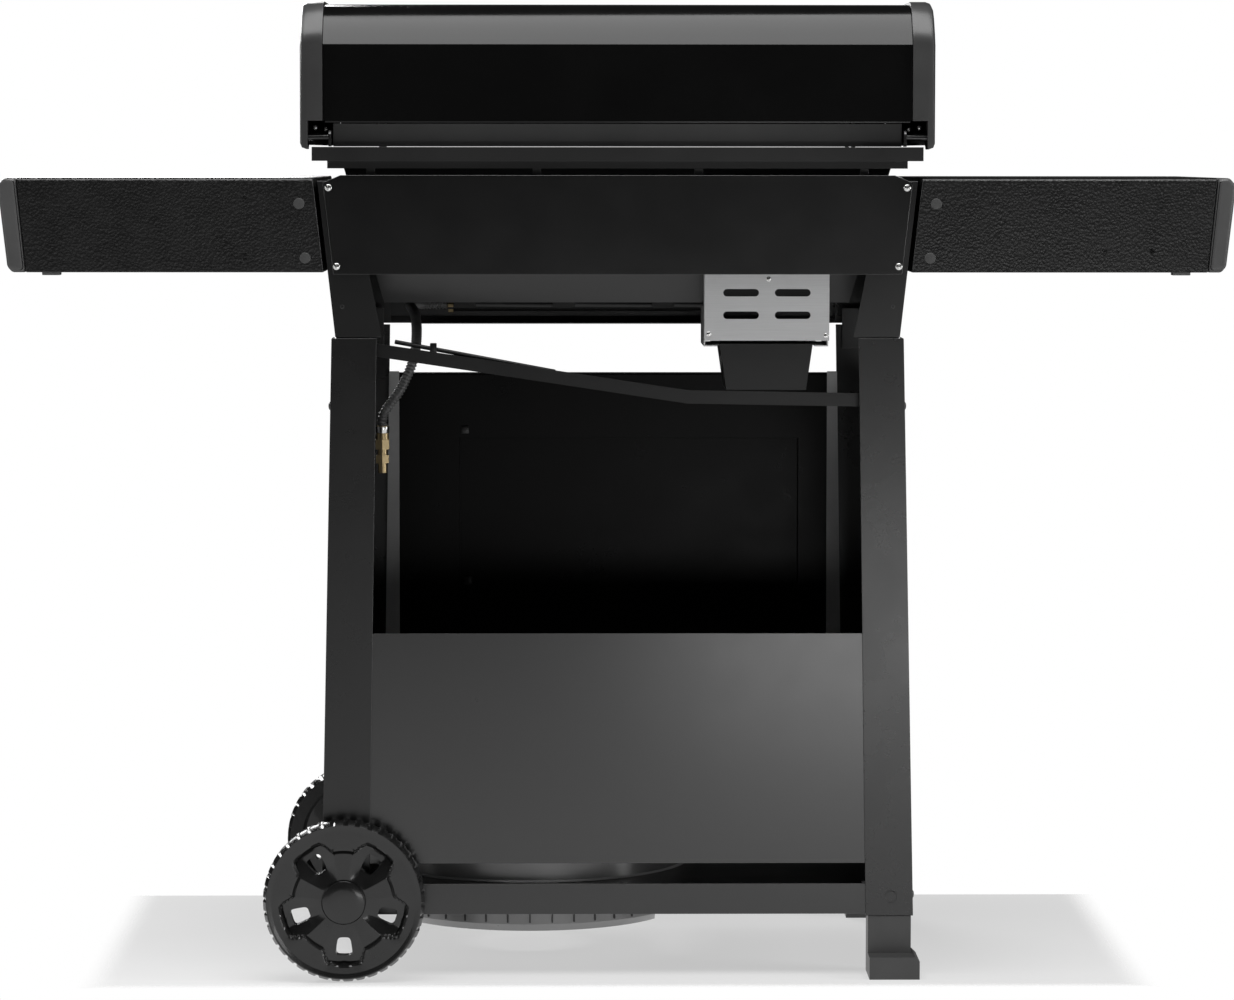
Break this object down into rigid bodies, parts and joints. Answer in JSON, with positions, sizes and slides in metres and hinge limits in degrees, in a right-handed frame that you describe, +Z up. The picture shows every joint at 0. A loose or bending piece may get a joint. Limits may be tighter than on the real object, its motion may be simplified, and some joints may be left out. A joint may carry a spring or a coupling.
{
  "type": "gas barbecue grill",
  "caption": "Free-standing gas grill on an open-backed cart with fixed side shelves, a hinged hood, a front door, and a wheeled end.",
  "frame": {"origin": "on the floor under the middle of the whole grill's bounding box", "axes": "+Z up, -Y towards the cook (front), +Y rear, +X towards the wheeled end"},
  "size_m": [1.482, 0.5645, 1.1757],
  "materials": {
    "powder_coat": "semi-gloss black powder coat",
    "textured_coat": "coarse textured black powder coat",
    "hood_enamel": "gloss black enamel",
    "black_plastic": "satin black moulding",
    "wheel_plastic": "satin black moulding with a fine grain",
    "stainless": "brushed",
    "needle_paint": "satin",
    "cast_iron": "seasoned, dull",
    "brass": "machined",
    "hose_rubber": "ribbed, dull"
  },
  "bodies": {
    "cart": {"rear_leg_right": "powder_coat", "front_leg_right": "powder_coat", "rear_leg_left": "powder_coat", "front_leg_left": "powder_coat", "rear_panel": "powder_coat", "rear_rail": "powder_coat", "front_rail": "powder_coat", "side_panel_right": "powder_coat", "side_panel_left": "powder_coat", "bottom_shelf": "powder_coat", "tank_well": "powder_coat", "head_side_right": "powder_coat", "head_side_left": "powder_coat", "back_panel": "powder_coat", "control_panel": "powder_coat", "rear_brace": "powder_coat", "rear_baffle": "powder_coat", "hood_hinge_right": "powder_coat", "hood_hinge_left": "powder_coat", "gas_manifold": "powder_coat", "side_shelf_right": "textured_coat", "side_shelf_left": "textured_coat", "firebox": "hood_enamel", "rear_foot": "black_plastic", "front_foot": "black_plastic", "shelf_cap_right": "black_plastic", "shelf_cap_left": "black_plastic", "axle": "stainless", "burner_1": "stainless", "burner_2": "stainless", "burner_3": "stainless", "burner_4": "stainless", "drip_tray": "stainless", "warming_rack": "stainless", "grease_guard": "stainless", "heat_plate_left": "cast_iron", "heat_plate_right": "cast_iron", "cooking_grate_right": "cast_iron", "cooking_grate_left": "cast_iron", "hose_coupling": "brass", "gas_hose": "hose_rubber"},
    "hood": {"hood_skin": "hood_enamel", "hood_cap_right": "black_plastic", "hood_cap_left": "black_plastic", "hood_handle": "stainless", "thermometer": "stainless"},
    "gauge_needle": {"thermometer_needle": "needle_paint"},
    "cart_door": {"door": "powder_coat", "door_inner_frame": "powder_coat", "door_handle": "stainless"},
    "wheel_rear": {"rear_wheel": "wheel_plastic", "rear_hub_cap": "black_plastic"},
    "wheel_front": {"front_wheel": "wheel_plastic", "front_hub_cap": "black_plastic"},
    "igniter": {"ignition_button": "black_plastic"},
    "cup": {"grease_cup": "powder_coat"},
    "knob_1": {"burner_knob_1": "black_plastic"},
    "knob_2": {"burner_knob_2": "black_plastic"},
    "knob_3": {"burner_knob_3": "black_plastic"},
    "knob_4": {"burner_knob_4": "black_plastic"}
  },
  "joints": [
    {"name": "hood_hinge", "type": "hinge", "parent": "cart", "child": "hood", "pos_m": [0, 0.214, 1.012], "axis": [-1, 0, 0], "range_deg": [0, 80]},
    {"name": "needle_turn", "type": "hinge", "parent": "hood", "child": "gauge_needle", "pos_m": [0, -0.236, 1.074], "axis": [0, 1, 0], "range_deg": [0, 270]},
    {"name": "door_hinge", "type": "hinge", "parent": "cart", "child": "cart_door", "pos_m": [-0.279, -0.207, 0.4565], "axis": [0, 0, -1], "range_deg": [0, 100]},
    {"name": "rear_wheel_spin", "type": "hinge", "parent": "cart", "child": "wheel_rear", "pos_m": [0.329, 0.259, 0.0974], "axis": [0, 1, 0], "continuous": true},
    {"name": "front_wheel_spin", "type": "hinge", "parent": "cart", "child": "wheel_front", "pos_m": [0.329, -0.241, 0.0974], "axis": [0, 1, 0], "continuous": true},
    {"name": "igniter_push", "type": "slide", "parent": "cart", "child": "igniter", "axis": [0, 1, 0], "range_m": [0, 0.004], "stiffness_N_per_m": 300},
    {"name": "cup_slide", "type": "slide", "parent": "cart", "child": "cup", "axis": [0, 1, 0], "range_m": [0, 0.13]},
    {"name": "knob_1_turn", "type": "hinge", "parent": "cart", "child": "knob_1", "pos_m": [-0.192, -0.251, 0.85], "axis": [0, -1, 0], "range_deg": [0, 130]},
    {"name": "knob_2_turn", "type": "hinge", "parent": "cart", "child": "knob_2", "pos_m": [-0.064, -0.251, 0.85], "axis": [0, -1, 0], "range_deg": [0, 130]},
    {"name": "knob_3_turn", "type": "hinge", "parent": "cart", "child": "knob_3", "pos_m": [0.064, -0.251, 0.85], "axis": [0, -1, 0], "range_deg": [0, 130]},
    {"name": "knob_4_turn", "type": "hinge", "parent": "cart", "child": "knob_4", "pos_m": [0.192, -0.251, 0.85], "axis": [0, -1, 0], "range_deg": [0, 130]}
  ]
}
